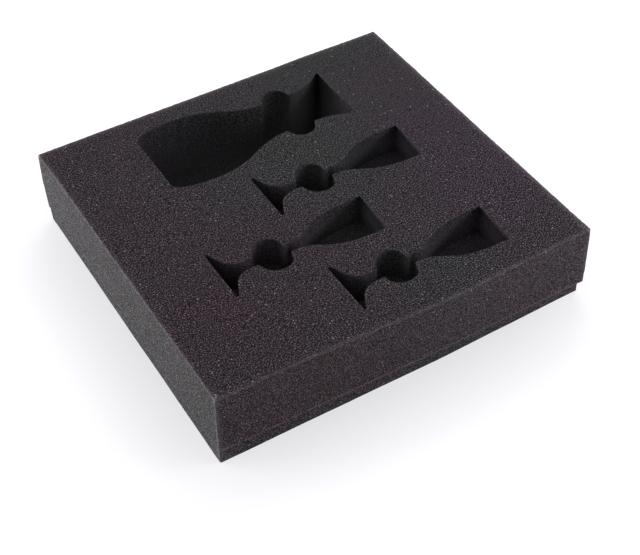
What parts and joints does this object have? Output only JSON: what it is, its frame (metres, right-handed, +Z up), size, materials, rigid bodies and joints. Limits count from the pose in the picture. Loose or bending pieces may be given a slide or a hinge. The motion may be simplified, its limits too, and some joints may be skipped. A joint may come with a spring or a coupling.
{
  "type": "foam case insert",
  "caption": "Charcoal foam insert for a presentation case, with cut-out pockets for a carafe and small goblets lying on their sides and finger holes to lift them out.",
  "frame": {"origin": "middle of the underside of the base sheet and slab together, on the surface that the insert lies on", "axes": "+X along the front face towards the goblets' rims, +Y from the goblets to the carafe pocket at the back, +Z up out of the pockets"},
  "size_m": [0.24, 0.233, 0.0505],
  "materials": {
    "slab_foam": "matte",
    "sheet_foam": "matte"
  },
  "bodies": {
    "root": {"pocket_slab": "slab_foam", "base_sheet": "sheet_foam"}
  },
  "joints": []
}
